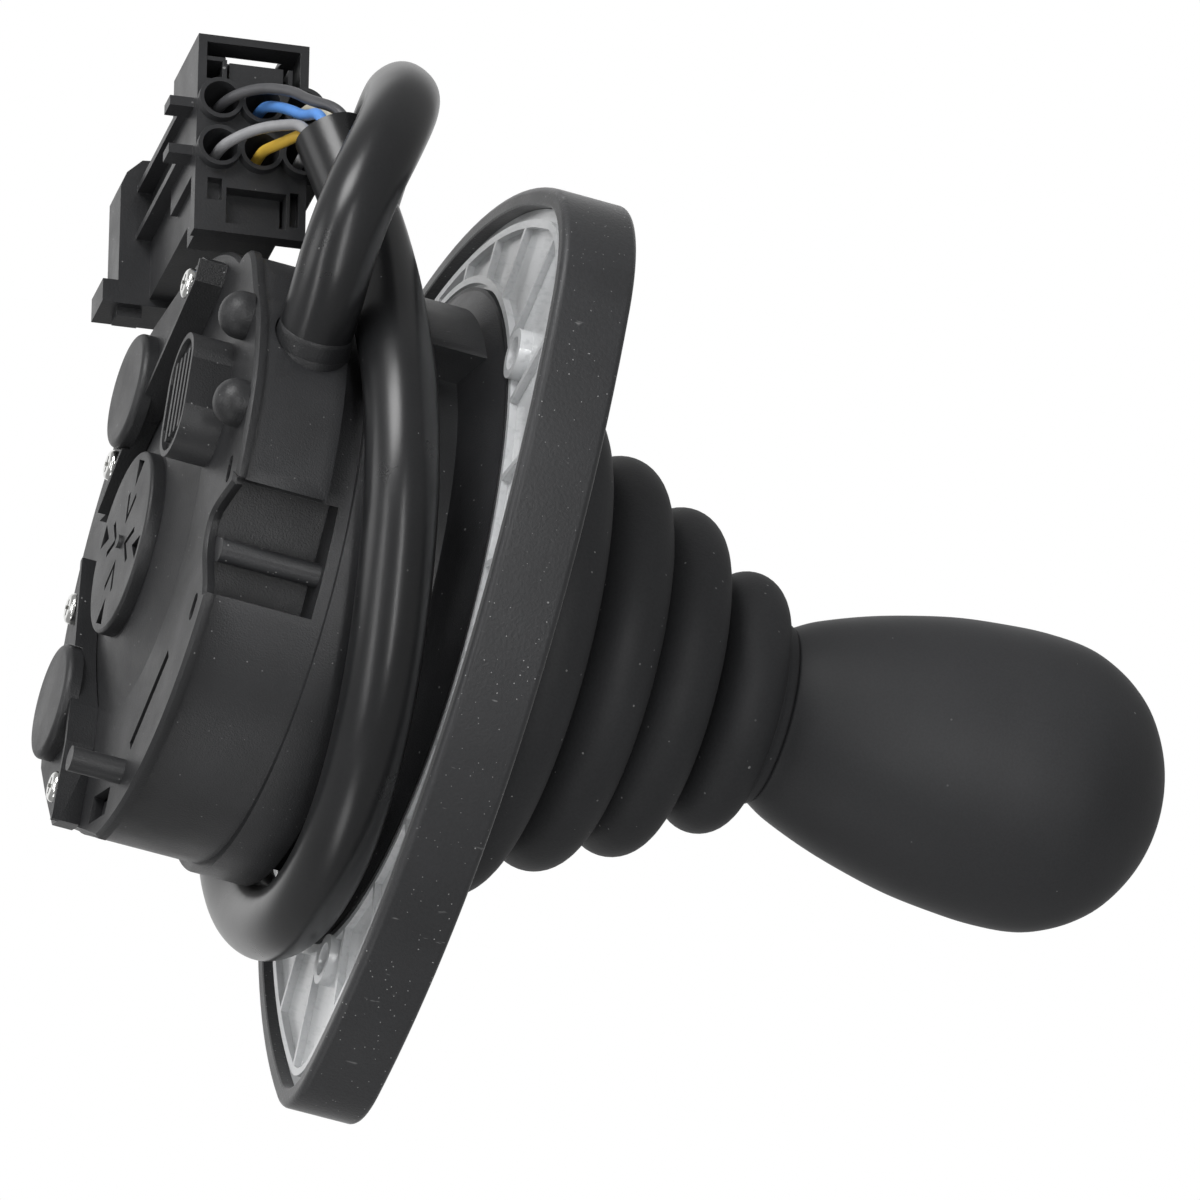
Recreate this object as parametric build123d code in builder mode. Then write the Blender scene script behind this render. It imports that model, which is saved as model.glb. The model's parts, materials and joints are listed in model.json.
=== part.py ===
from build123d import *
import os
from math import sin, cos, tan, radians, atan2, sqrt, pi, acos, degrees

os.makedirs("parts", exist_ok=True)

# ---------------------------------------------------------------- frame
# +Z runs along the stick towards the knob, the origin is on the stick's axis
# in the plane of the bezel ring's back face, where it seats on a panel.
# -Y is the side with the cable entry and the rectangular side pocket.

# bezel ring and clear flange plate (three-lobed outline)
corners = [(-40.3, -29.2, 19.35), (52.8, -15.0, 13.7), (-9.4, 46.7, 14.8)]
side_radius = 107.4
ring_height = 10.2
ring_rim = 2.6
ring_lip = 4.0
plate_bottom = 1.7
plate_top = 4.6
mount_radius = 49.0
mount_angle = 100.5
mount_hole_r = 2.25

# housing
housing_r = 38.7
housing_lip_r = 39.9
housing_neck_r = 36.8
housing_bore_r = 34.5
housing_lip_bottom = -16.7
housing_neck_bottom = -9.5
collar_r = 45.0
collar_bottom = 0.65
pad_r = 41.8
cover_r = 40.9
cover_top = -31.9
cover_bottom = -33.4
hub_r = 12.5
hub_cap_top = -35.4
hub_cap_bottom = -37.4

# bulge of the housing round the cable entry, and the notch of the cover at the side pocket
bulge_top = -20.6
bulge = [(-39.8, -8.0), (-41.6, -11.2), (-37.6, -20.4), (-34.1, -26.6), (-31.0, -30.2), (-26.4, -34.2), (-20.3, -37.6), (-12.4, -40.3), (-12.4, -30.0), (-30.0, -5.0)]
notch = [(-12.2, -46.0), (-12.2, -40.3), (-10.2, -37.0), (-8.0, -33.2), (-6.2, -31.5), (-4.2, -31.7), (0.4, -36.2), (3.2, -39.4), (3.2, -46.0)]

# bellows: (crest radius, height, half pitch) from the ring towards the knob
crests = [(34.8, 16.0, 4.9), (28.5, 26.9, 4.9), (24.0, 36.8, 4.8), (18.0, 47.7, 4.6)]
boot_wall = 1.3
boot_top = 53.6

# stick
pivot_z = -6.5
shaft_r = 4.0
shaft_top = 92.0
tail_r = 2.4
tail_end = -24.8
knob_base = 54.2
knob_profile = [
    (12.0, 54.2), (13.9, 58.0), (16.15, 64.1), (17.9, 70.4), (19.25, 76.8),
    (20.0, 83.6), (20.25, 88.6), (19.95, 93.7), (18.95, 97.4), (16.9, 101.3),
    (13.9, 104.7), (9.4, 107.6), (4.6, 109.2), (0.0, 109.6),
]

# gimbal and sensor bail
gimbal_in, gimbal_out, gimbal_half = 10.0, 14.0, 2.6
pin_r = 1.5
run_gap = 0.05
bail_in, bail_out, bail_half = 16.5, 19.0, 5.0
carrier_in, carrier_out = 21.0, 30.0

# sleeve and wires
sleeve_r = 5.0
wire_r = 0.75


def unit(v):
    n = sqrt(sum(c * c for c in v))
    return tuple(c / n for c in v)


def lobes(inset):
    """Arcs of the three-lobed outline, moved inwards by inset, for a BuildLine."""
    centres, m = [], len(corners)
    for k in range(m):
        x1, y1, r1 = corners[k]
        x2, y2, r2 = corners[(k + 1) % m]
        dx, dy = x2 - x1, y2 - y1
        d = sqrt(dx * dx + dy * dy)
        a, b = side_radius - r1, side_radius - r2
        t = (a * a - b * b + d * d) / (2 * d)
        h = sqrt(a * a - t * t)
        ux, uy = dx / d, dy / d
        centres.append((x1 + ux * t - uy * h, y1 + uy * t + ux * h))
    ends = []
    for k in range(m):
        x, y, r = corners[k]
        o1, o2 = centres[k - 1], centres[k]
        a1 = atan2(y - o1[1], x - o1[0])
        a2 = atan2(y - o2[1], x - o2[0])
        while a2 < a1:
            a2 += 2 * pi
        ends.append((a1, a2))

    def at(c, r, a):
        return (c[0] + r * cos(a), c[1] + r * sin(a))

    for k in range(m):
        x, y, r = corners[k]
        a1, a2 = ends[k]
        rc = r - inset
        ThreePointArc(at((x, y), rc, a1), at((x, y), rc, (a1 + a2) / 2), at((x, y), rc, a2))
        n = (k + 1) % m
        b2 = ends[n][0]
        while b2 < a2:
            b2 += 2 * pi
        nx, ny, nr = corners[n]
        rs = side_radius - inset
        ThreePointArc(
            at((x, y), rc, a2),
            at(centres[k], rs, (a2 + b2) / 2),
            at((nx, ny), nr - inset, ends[n][0]),
        )


def turned(points, angle):
    c, s = cos(radians(angle)), sin(radians(angle))
    return [(c * x - s * y, s * x + c * y) for x, y in points]


def tube_route(name, points):
    """Corner radii of a route: 0.45 of the shorter run beside each corner over tan(half turn)."""
    radii = []
    for a, b, c in zip(points, points[1:], points[2:]):
        u = tuple(q - p for p, q in zip(a, b))
        v = tuple(q - p for p, q in zip(b, c))
        lu, lv = sqrt(sum(t * t for t in u)), sqrt(sum(t * t for t in v))
        turn = acos(max(-1, min(1, sum(s * t for s, t in zip(u, v)) / lu / lv)))
        radii.append(0.45 * min(lu, lv) / tan(turn / 2))
    print(name, "runs", [round(sqrt(sum((q - p) ** 2 for p, q in zip(a, b))), 1) for a, b in zip(points, points[1:])])
    print(name, "radii", [round(r, 1) for r in radii])
    return radii


def start_plane(points):
    d = unit(tuple(q - p for p, q in zip(points[0], points[1])))
    return Plane(origin=points[0], z_dir=d)


# ---------------------------------------------------------------- bezel ring
with BuildPart() as bezel_ring:
    with BuildSketch(Plane.XY):
        with BuildLine():
            lobes(0)
        make_face()
    extrude(amount=ring_height)
    with BuildSketch(Plane.XY):
        with BuildLine():
            lobes(ring_rim)
        make_face()
    extrude(amount=plate_top + 0.1, mode=Mode.SUBTRACT)
    with BuildSketch(Plane.XY.offset(plate_top + 0.1)):
        with BuildLine():
            lobes(ring_lip)
        make_face()
    extrude(amount=ring_height, mode=Mode.SUBTRACT)
    fillet(bezel_ring.faces().sort_by(Axis.Z)[0].outer_wire().edges(), radius=1.0)
    fillet(bezel_ring.faces().sort_by(Axis.Z)[-1].outer_wire().edges(), radius=0.9)
bezel_ring.part.label = "bezel_ring"
export_step(bezel_ring.part, "parts/bezel_ring.step")

# ---------------------------------------------------------------- clear flange plate
with BuildPart() as flange_plate:
    with BuildSketch(Plane.XY.offset(plate_bottom)):
        with BuildLine():
            lobes(ring_rim + 0.1)
        make_face()
        Circle(13.0, mode=Mode.SUBTRACT)
    extrude(amount=plate_top - plate_bottom)
    # rib that follows the edge, round rib about the collar and short radial ribs
    with BuildSketch(Plane.XY.offset(0.7)):
        with BuildLine():
            lobes(4.4)
        make_face()
        with BuildLine():
            lobes(5.5)
        make_face(mode=Mode.SUBTRACT)
    extrude(amount=plate_bottom - 0.7)
    with BuildSketch(Plane.XY.offset(0.7)):
        Circle(46.6)
        Circle(45.6, mode=Mode.SUBTRACT)
    extrude(amount=plate_bottom - 0.7)
    with BuildSketch(Plane.XY.offset(0.7)):
        with PolarLocations(33, 24, start_angle=3.0):
            Rectangle(80, 0.9)
        with BuildLine():
            lobes(5.0)
        make_face(mode=Mode.INTERSECT)
        Circle(46.1, mode=Mode.SUBTRACT)
    extrude(amount=plate_bottom - 0.7)
    # bosses of the three screw holes stand on the panel, flush with the ring's back face
    with BuildSketch(Plane.XY):
        with PolarLocations(mount_radius, 3, start_angle=mount_angle):
            Circle(3.4)
        Circle(45.4, mode=Mode.SUBTRACT)
    extrude(amount=plate_bottom)
    with BuildSketch(Plane.XY.offset(0.0)):
        with PolarLocations(mount_radius, 3, start_angle=mount_angle):
            Circle(mount_hole_r)
    extrude(amount=plate_top + 1, mode=Mode.SUBTRACT)
flange_plate.part.label = "flange_plate"
export_step(flange_plate.part, "parts/flange_plate.step")

# the sleeve's end face stands at this point in the housing wall
gland_face = (-31.4, -27.5, -25.3)
gland_dir = unit((-0.915, -0.40, -0.05))


def along_gland(distance):
    return tuple(p + distance * d for p, d in zip(gland_face, gland_dir))


# ---------------------------------------------------------------- main housing
with BuildPart() as main_housing:
    with BuildSketch(Plane.XY.offset(cover_top)):
        Circle(housing_r)
    extrude(amount=housing_lip_bottom - cover_top)
    with BuildSketch(Plane.XY.offset(housing_lip_bottom)):
        Circle(housing_lip_r)
    extrude(amount=housing_neck_bottom - housing_lip_bottom)
    with BuildSketch(Plane.XY.offset(housing_neck_bottom)):
        Circle(housing_neck_r)
    extrude(amount=plate_bottom - housing_neck_bottom)
    with BuildSketch(Plane.XY.offset(collar_bottom)):
        Circle(collar_r)
    extrude(amount=plate_bottom - collar_bottom)
    # conical root of the collar
    with BuildSketch(Plane.XZ):
        with BuildLine():
            Polyline((35.6, -3.2), (36.8, -3.2), (44.5, 0.65), (44.5, 1.0), (35.6, 1.0), close=True)
        make_face()
    revolve(axis=Axis.Z)
    # raised wall pad towards -X
    with BuildSketch(Plane.XY.offset(housing_neck_bottom)):
        Circle(pad_r)
        with BuildLine():
            Polyline((0, 0), (-60, -36.0), (-60, 36.0), close=True)
        make_face(mode=Mode.INTERSECT)
    extrude(amount=collar_bottom - housing_neck_bottom)
    # bulge round the cable entry
    with BuildSketch(Plane.XY.offset(cover_top)):
        with BuildLine():
            inner = [(0.985 * x, 0.985 * y) for x, y in bulge]
            Spline(*inner[:8])
            Polyline(*inner[7:], inner[0])
        make_face()
    extrude(amount=bulge_top - cover_top)
    with BuildSketch(Plane.XY.offset(cover_top)):
        Circle(housing_bore_r)
    extrude(amount=60, mode=Mode.SUBTRACT)
    # closed pocket block behind the side opening, then the pocket and its rib
    with BuildSketch(Plane.XY.offset(cover_top)):
        with Locations((-4.3, -33.0)):
            Rectangle(19.6, 9.0)
        Circle(37.5, mode=Mode.INTERSECT)
    extrude(amount=15.2)
    with BuildSketch(Plane.XY.offset(cover_top)):
        with Locations((-4.3, -39.0)):
            Rectangle(15.0, 15.0)
    extrude(amount=13.6, mode=Mode.SUBTRACT)
    with BuildSketch(Plane.XY.offset(cover_top)):
        with Locations((-2.5, -34.0)):
            RectangleRounded(3.2, 6.0, 1.4)
    extrude(amount=13.6)
    # seat of the cable gland
    with BuildSketch(Plane(origin=along_gland(-16.0), z_dir=gland_dir)):
        Circle(5.3)
    extrude(amount=24, mode=Mode.SUBTRACT)
main_housing.part.label = "main_housing"
export_step(main_housing.part, "parts/main_housing.step")

# ---------------------------------------------------------------- rear cover
plug_xy = (-20.7, -18.0)
plug_turn = -25.8
bracket_screws_xy = [(-35.4, 2.4), (-9.5, 20.2), (33.6, 1.9), (10.4, 20.9)]
with BuildPart() as rear_cover:
    with BuildSketch(Plane.XY.offset(cover_bottom)):
        Circle(cover_r)
        with BuildLine():
            Spline(*bulge[:8])
            Polyline(*bulge[7:], bulge[0])
        make_face()
        with BuildLine():
            Polyline(notch[-2], notch[-1], notch[0], notch[1])
            Spline(*notch[1:-1])
        make_face(mode=Mode.SUBTRACT)
        with Locations((48.4, 0)):
            Rectangle(20.0, 90.0, mode=Mode.SUBTRACT)
    extrude(amount=cover_top - cover_bottom)
    chamfer(rear_cover.faces().sort_by(Axis.Z)[0].outer_wire().edges(), length=0.5)
    # domed middle that carries the hub cap
    with BuildSketch(Plane.XZ):
        with BuildLine():
            Polyline((0, -33.0), (22.3, -33.0), (22.3, cover_bottom), (13.2, hub_cap_top), (0, hub_cap_top), close=True)
        make_face()
    revolve(axis=Axis.Z)
    with BuildSketch(Plane.XY.offset(cover_bottom + 0.2)):
        with Locations(Location(plug_xy, plug_turn)):
            SlotOverall(17.4, 10.6)
    extrude(amount=-5.8)
    with BuildSketch(Plane.XY.offset(-39.1)):
        with Locations(Location(plug_xy, plug_turn)):
            SlotOverall(15.8, 9.0)
    extrude(amount=1.3, mode=Mode.SUBTRACT)
    with BuildSketch(Plane.XY.offset(cover_bottom + 0.2)):
        with Locations((29.0, -19.6)):
            Circle(1.7)
    extrude(amount=-7.4)
    # long slot and two small windows near the rim
    with BuildSketch(Plane.XY.offset(-40)):
        with Locations(Location((18.9, -24.7), 31.6)):
            Rectangle(15.4, 1.7)
        with Locations(Location((-13.0, -35.6), -20.0)):
            SlotOverall(3.7, 1.9)
        with Locations(Location((5.5, -36.1), 8.0)):
            SlotOverall(3.7, 1.9)
        with Locations(Location((34.2, -11.6), -14.0)):
            Rectangle(3.8, 8.6)
    extrude(amount=20, mode=Mode.SUBTRACT)
    with BuildSketch(Plane.XY.offset(-36.0)):
        with Locations(*bracket_screws_xy):
            Circle(1.15)
    extrude(amount=3.8, mode=Mode.SUBTRACT)
rear_cover.part.label = "rear_cover"
export_step(rear_cover.part, "parts/rear_cover.step")

# ---------------------------------------------------------------- hub cap
with BuildPart() as hub_cap:
    with BuildSketch(Plane.XY.offset(hub_cap_bottom)):
        Circle(hub_r)
        for k in range(4):
            with BuildLine():
                Polyline(*turned([(11.2, -1.7), (11.2, 1.7), (7.6, 0.0)], 90 * k), close=True)
            make_face(mode=Mode.SUBTRACT)
            with BuildLine():
                Polyline(*turned([(2.4, 0.0), (6.2, 2.5), (6.8, 1.8), (3.7, 0.0), (6.8, -1.8), (6.2, -2.5)], 90 * k), close=True)
            make_face(mode=Mode.SUBTRACT)
    extrude(amount=hub_cap_top - hub_cap_bottom)
    with BuildSketch(Plane.XY.offset(hub_cap_bottom)):
        Circle(0.9)
    extrude(amount=-0.5)
    fillet(hub_cap.faces().filter_by(GeomType.CYLINDER).sort_by(SortBy.AREA)[-1].edges().sort_by(Axis.Z)[0], radius=0.5)
hub_cap.part.label = "hub_cap"
export_step(hub_cap.part, "parts/hub_cap.step")

# ---------------------------------------------------------------- ribbed plug and studs
with BuildPart() as ribbed_plug:
    with BuildSketch(Plane.XY.offset(-38.3)):
        with Locations(Location(plug_xy, plug_turn)):
            SlotOverall(15.6, 8.8)
    extrude(amount=0.5)
    with BuildSketch(Plane.XY.offset(-38.9)):
        with Locations(Location(plug_xy, plug_turn)):
            with Locations((0, -2.7), (0, -0.9), (0, 0.9), (0, 2.7)):
                SlotOverall(11.6, 0.8)
    extrude(amount=0.6)
ribbed_plug.part.label = "ribbed_plug"
export_step(ribbed_plug.part, "parts/ribbed_plug.step")

with BuildPart() as guide_studs:
    with BuildSketch(Plane.XY.offset(cover_bottom)):
        with Locations((-32.9, -22.4), (-21.6, -33.0)):
            Circle(3.2)
    extrude(amount=-3.9)
    fillet(guide_studs.faces().group_by(Axis.Z)[0].edges(), radius=3.0)
guide_studs.part.label = "guide_studs"
export_step(guide_studs.part, "parts/guide_studs.step")


# ---------------------------------------------------------------- sensor brackets
def strip(points, t):
    """Closed band of width t on the left of a polyline."""
    side = []
    for i, p in enumerate(points):
        a = points[max(i - 1, 0)]
        b = points[min(i + 1, len(points) - 1)]
        u = unit((b[0] - a[0], b[1] - a[1], 0))
        side.append((p[0] - t * u[1], p[1] + t * u[0]))
    return list(points) + side[::-1]


bracket_floor = cover_bottom
bracket_face = -36.2
bracket_wall = -37.3
near_a = [(-39.0, -2.1), (-36.0, -2.3), (-21.9, 8.2), (-16.0, 13.0), (-2.9, 19.6)]
far_a = [(-1.9, 22.4), (-8.0, 25.2), (-14.9, 26.4), (-19.7, 27.6), (-24.5, 26.3), (-29.2, 19.7), (-34.5, 10.5), (-39.3, 1.8)]
near_b = [(3.4, 21.7), (14.7, 11.7), (22.2, 4.9), (27.2, 1.1), (37.6, -2.8)]
far_b = [(38.6, 1.0), (35.0, 10.5), (32.0, 17.5), (27.6, 21.8), (22.9, 23.2), (17.8, 21.9), (9.0, 25.6), (4.3, 24.4)]
disc_a = (-19.7, 18.1)
disc_b = (22.9, 13.5)
disc_r = 7.9


def bracket(near, far, screws, disc):
    with BuildPart() as part:
        with BuildSketch(Plane.XY.offset(bracket_face)):
            with BuildLine():
                Polyline(*(near + far), close=True)
            make_face()
        extrude(amount=bracket_floor - bracket_face)
        with BuildSketch(Plane.XY.offset(bracket_wall)):
            with BuildLine():
                Polyline(*strip(near, 0.8), close=True)
            make_face()
            with Locations(disc):
                Circle(disc_r + 0.3, mode=Mode.SUBTRACT)
        extrude(amount=bracket_face - bracket_wall)
        # foot clearance over the domed middle of the cover
        with BuildSketch(Plane.XZ):
            with BuildLine():
                Polyline((0, -33.0), (22.5, -33.0), (22.5, cover_bottom - 0.05), (13.3, hub_cap_top - 0.1), (13.3, -36.0), (0, -36.0), close=True)
            make_face()
        revolve(axis=Axis.Z, mode=Mode.SUBTRACT)
        with BuildSketch(Plane.XY.offset(bracket_wall)):
            with Locations(*screws):
                Circle(1.15)
        extrude(amount=6, mode=Mode.SUBTRACT)
    return part.part


sensor_bracket_a = bracket(near_a, far_a, bracket_screws_xy[:2], disc_a)
sensor_bracket_a.label = "sensor_bracket_a"
export_step(sensor_bracket_a, "parts/sensor_bracket_a.step")
sensor_bracket_b = bracket(near_b, far_b, bracket_screws_xy[2:], disc_b)
sensor_bracket_b.label = "sensor_bracket_b"
export_step(sensor_bracket_b, "parts/sensor_bracket_b.step")

for name, xy in (("sensor_disc_a", disc_a), ("sensor_disc_b", disc_b)):
    with BuildPart() as disc:
        with BuildSketch(Plane.XY.offset(bracket_face)):
            with Locations(xy):
                Circle(disc_r)
        extrude(amount=-2.2)
        fillet(disc.faces().sort_by(Axis.Z)[0].edges(), radius=0.9)
    disc.part.label = name
    export_step(disc.part, "parts/" + name + ".step")

with BuildPart() as bracket_screws:
    for x, y in bracket_screws_xy:
        with BuildSketch(Plane.XY.offset(bracket_face)):
            with Locations((x, y)):
                Circle(2.1)
        extrude(amount=-1.5)
        with BuildSketch(Plane.XY.offset(bracket_face)):
            with Locations((x, y)):
                Circle(1.0)
        extrude(amount=3.8)
    fillet(bracket_screws.faces().group_by(Axis.Z)[0].edges(), radius=0.7)
    with BuildSketch(Plane.XY.offset(bracket_face - 1.6)):
        with Locations(*bracket_screws_xy):
            Rectangle(2.2, 0.5)
            Rectangle(0.5, 2.2)
    extrude(amount=0.8, mode=Mode.SUBTRACT)
bracket_screws.part.label = "bracket_screws"
export_step(bracket_screws.part, "parts/bracket_screws.step")

# ---------------------------------------------------------------- gland
with BuildPart() as cable_gland:
    with BuildSketch(Plane(origin=gland_face, z_dir=gland_dir)):
        Circle(5.25)
    extrude(amount=-8.0)
cable_gland.part.label = "cable_gland"
export_step(cable_gland.part, "parts/cable_gland.step")

# ---------------------------------------------------------------- pivot carrier and pins
with BuildPart() as pivot_carrier:
    with BuildSketch(Plane.XY.offset(-10.5)):
        Circle(carrier_out)
        Circle(carrier_in, mode=Mode.SUBTRACT)
        with Locations((-19.0, 0), (19.0, 0)):
            Rectangle(8.8, 8.0)
    extrude(amount=10.5)
    with BuildSketch(Plane.XY):
        Circle(carrier_out)
        Circle(24.0, mode=Mode.SUBTRACT)
    extrude(amount=plate_bottom)
    with BuildSketch(Plane.YZ.offset(-20.0)):
        with Locations((0, pivot_z)):
            Circle(pin_r)
    extrude(amount=40.0, mode=Mode.SUBTRACT)
    with BuildSketch(Plane.XZ.offset(-26.0)):
        with Locations((0, pivot_z)):
            Circle(pin_r)
    extrude(amount=52.0, mode=Mode.SUBTRACT)
pivot_carrier.part.label = "pivot_carrier"
export_step(pivot_carrier.part, "parts/pivot_carrier.step")

with BuildPart() as tilt_pins_x:
    for s in (-1, 1):
        with BuildSketch(Plane.YZ.offset(s * 10.6)):
            with Locations((0, pivot_z)):
                Circle(pin_r)
        extrude(amount=s * 9.4)
tilt_pins_x.part.label = "tilt_pins_x"
export_step(tilt_pins_x.part, "parts/tilt_pins_x.step")

with BuildPart() as bail_pins:
    for s in (-1, 1):
        with BuildSketch(Plane.XZ.offset(-s * 16.8)):
            with Locations((0, pivot_z)):
                Circle(pin_r)
        extrude(amount=-s * 9.2)
bail_pins.part.label = "bail_pins"
export_step(bail_pins.part, "parts/bail_pins.step")

# ---------------------------------------------------------------- spring seat on the plate
with BuildPart() as spring_seat:
    with BuildSketch(Plane.XY.offset(plate_bottom)):
        Circle(12.95)
        Circle(10.5, mode=Mode.SUBTRACT)
    extrude(amount=plate_top - plate_bottom)
    with BuildSketch(Plane.XY.offset(plate_top)):
        Circle(17.0)
        Circle(10.5, mode=Mode.SUBTRACT)
    extrude(amount=1.4)
spring_seat.part.label = "spring_seat"
export_step(spring_seat.part, "parts/spring_seat.step")

# ---------------------------------------------------------------- boot and its clamp
with BuildPart() as boot:
    with BuildSketch(Plane.XZ):
        with BuildLine():
            flange_z = plate_top + 0.05
            pts = [(41.0, flange_z), (41.0, flange_z + 1.7), (32.0, flange_z + 1.7), (29.6, 8.2)]
            Polyline(*pts, (crests[0][0] - crests[0][2], crests[0][1] - crests[0][2]))
            valleys = []
            for i, (r, z, p) in enumerate(crests):
                c = r - p
                ThreePointArc((c, z - p), (r, z), (c, z + p))
                if i < len(crests) - 1:
                    r2, z2, p2 = crests[i + 1]
                    v = (r2 - p2 - 1.1, (z + p + z2 - p2) / 2)
                    valleys.append(v)
                    Polyline((c, z + p), v, (r2 - p2, z2 - p2))
            r, z, p = crests[-1]
            Polyline((r - p, z + p), (10.6, z + p + 0.3), (10.6, boot_top), (8.8, boot_top), (8.8, z + p - boot_wall), (r - p, z + p - boot_wall))
            for i in range(len(crests) - 1, -1, -1):
                r, z, p = crests[i]
                c, q = r - p, p - boot_wall
                ThreePointArc((c, z + q), (c + q, z), (c, z - q))
                if i > 0:
                    r2, z2, p2 = crests[i - 1]
                    v = valleys[i - 1]
                    Polyline((c, z - q), (v[0] - boot_wall, v[1] + 0.7), (v[0] - boot_wall, v[1] - 0.7), (r2 - p2, z2 + p2 - boot_wall))
            r, z, p = crests[0]
            Polyline((r - p, z - p + boot_wall), (28.3, 9.0), (28.3, flange_z), (41.0, flange_z))
        make_face()
    revolve(axis=Axis.Z)
boot.part.label = "boot"
export_step(boot.part, "parts/boot.step")

with BuildPart() as boot_clamp:
    with BuildSketch(Plane.XY.offset(plate_top + 1.8)):
        Circle(42.0)
        Circle(35.0, mode=Mode.SUBTRACT)
    extrude(amount=1.8)
    with BuildSketch(Plane.XY.offset(plate_top)):
        Circle(43.2)
        Circle(41.4, mode=Mode.SUBTRACT)
    extrude(amount=3.6)
boot_clamp.part.label = "boot_clamp"
export_step(boot_clamp.part, "parts/boot_clamp.step")

# ---------------------------------------------------------------- centring spring (coil about the stick)
spring_bottom, spring_top = plate_top + 1.4, 24.0
coil_r, coil_wire, coil_turns = 13.0, 0.8, 5.5
with BuildPart() as centring_spring:
    pitch = (spring_top - spring_bottom - 2 * coil_wire - 0.1) / coil_turns
    with BuildLine() as coil:
        Helix(pitch=pitch, height=pitch * coil_turns, radius=coil_r, center=(0, 0, spring_bottom + coil_wire + 0.05))
    with BuildSketch(Plane(origin=coil.line @ 0, z_dir=coil.line % 0)):
        Circle(coil_wire)
    sweep()
centring_spring.part.label = "centring_spring"
export_step(centring_spring.part, "parts/centring_spring.step")

# ---------------------------------------------------------------- gimbal ring and its pins
with BuildPart() as gimbal_ring:
    with BuildSketch(Plane.XY.offset(pivot_z - gimbal_half)):
        Circle(gimbal_out)
        Circle(gimbal_in, mode=Mode.SUBTRACT)
    extrude(amount=2 * gimbal_half)
    with BuildSketch(Plane.YZ.offset(-20.0)):
        with Locations((0, pivot_z)):
            Circle(pin_r + run_gap)
    extrude(amount=40.0, mode=Mode.SUBTRACT)
    with BuildSketch(Plane.XZ.offset(-20.0)):
        with Locations((0, pivot_z)):
            Circle(pin_r)
    extrude(amount=40.0, mode=Mode.SUBTRACT)
gimbal_ring.part.label = "gimbal_ring"
export_step(gimbal_ring.part, "parts/gimbal_ring.step")

with BuildPart() as tilt_pins_y:
    for s in (-1, 1):
        with BuildSketch(Plane.XZ.offset(-s * 5.0)):
            with Locations((0, pivot_z)):
                Circle(pin_r)
        extrude(amount=-s * 8.6)
tilt_pins_y.part.label = "tilt_pins_y"
export_step(tilt_pins_y.part, "parts/tilt_pins_y.step")

# ---------------------------------------------------------------- sensor bail (slotted half hoop)
with BuildPart() as sensor_bail:
    with BuildSketch(Plane.YZ.offset(-bail_half)):
        with Locations((0, pivot_z)):
            Circle(bail_out)
            Circle(bail_in, mode=Mode.SUBTRACT)
        with Locations((0, pivot_z + 30)):
            Rectangle(60, 60, mode=Mode.SUBTRACT)
        with Locations((-(bail_in + bail_out) / 2, pivot_z + 1.9), ((bail_in + bail_out) / 2, pivot_z + 1.9)):
            Rectangle(bail_out - bail_in, 4.2)
    extrude(amount=2 * bail_half)
    with BuildSketch(Plane.XY.offset(pivot_z - 25)):
        Rectangle(6.0, 19.0)
    extrude(amount=15, mode=Mode.SUBTRACT)
    with BuildSketch(Plane.XZ.offset(-30.0)):
        with Locations((0, pivot_z)):
            Circle(pin_r + run_gap)
    extrude(amount=60.0, mode=Mode.SUBTRACT)
sensor_bail.part.label = "sensor_bail"
export_step(sensor_bail.part, "parts/sensor_bail.step")

# ---------------------------------------------------------------- stick
with BuildPart() as pivot_block:
    with BuildSketch(Plane.XY.offset(pivot_z - 3.5)):
        Circle(8.0)
        Circle(shaft_r, mode=Mode.SUBTRACT)
    extrude(amount=7.0)
    with BuildSketch(Plane.XZ.offset(-10.0)):
        with Locations((0, pivot_z)):
            Circle(pin_r + run_gap)
    extrude(amount=20.0, mode=Mode.SUBTRACT)
pivot_block.part.label = "pivot_block"
export_step(pivot_block.part, "parts/pivot_block.step")

with BuildPart() as stick_shaft:
    with BuildSketch(Plane.XY.offset(pivot_z - 3.5)):
        Circle(shaft_r)
    extrude(amount=shaft_top - (pivot_z - 3.5))
    with BuildSketch(Plane.XY.offset(tail_end)):
        Circle(tail_r)
    extrude(amount=pivot_z - 3.5 - tail_end)
    chamfer(stick_shaft.faces().sort_by(Axis.Z)[-1].edges(), length=0.8)
stick_shaft.part.label = "stick_shaft"
export_step(stick_shaft.part, "parts/stick_shaft.step")

with BuildPart() as tail_magnet:
    with BuildSketch(Plane.XY.offset(tail_end)):
        Circle(tail_r)
    extrude(amount=-1.6)
tail_magnet.part.label = "tail_magnet"
export_step(tail_magnet.part, "parts/tail_magnet.step")

with BuildPart() as spring_collar:
    with BuildSketch(Plane.XY.offset(24.0)):
        Circle(15.0)
        Circle(shaft_r, mode=Mode.SUBTRACT)
    extrude(amount=2.0)
    with BuildSketch(Plane.XY.offset(26.0)):
        Circle(6.8)
        Circle(shaft_r, mode=Mode.SUBTRACT)
    extrude(amount=4.0)
spring_collar.part.label = "spring_collar"
export_step(spring_collar.part, "parts/spring_collar.step")

with BuildPart() as lock_nut:
    with BuildSketch(Plane.XY.offset(43.4)):
        RegularPolygon(radius=6.5, side_count=6, major_radius=False)
        Circle(shaft_r, mode=Mode.SUBTRACT)
    extrude(amount=6.5)
lock_nut.part.label = "lock_nut"
export_step(lock_nut.part, "parts/lock_nut.step")

with BuildPart() as boot_collar:
    with BuildSketch(Plane.XY.offset(50.0)):
        Circle(8.4)
        Circle(shaft_r, mode=Mode.SUBTRACT)
    extrude(amount=knob_base - 50.0)
boot_collar.part.label = "boot_collar"
export_step(boot_collar.part, "parts/boot_collar.step")

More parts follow.
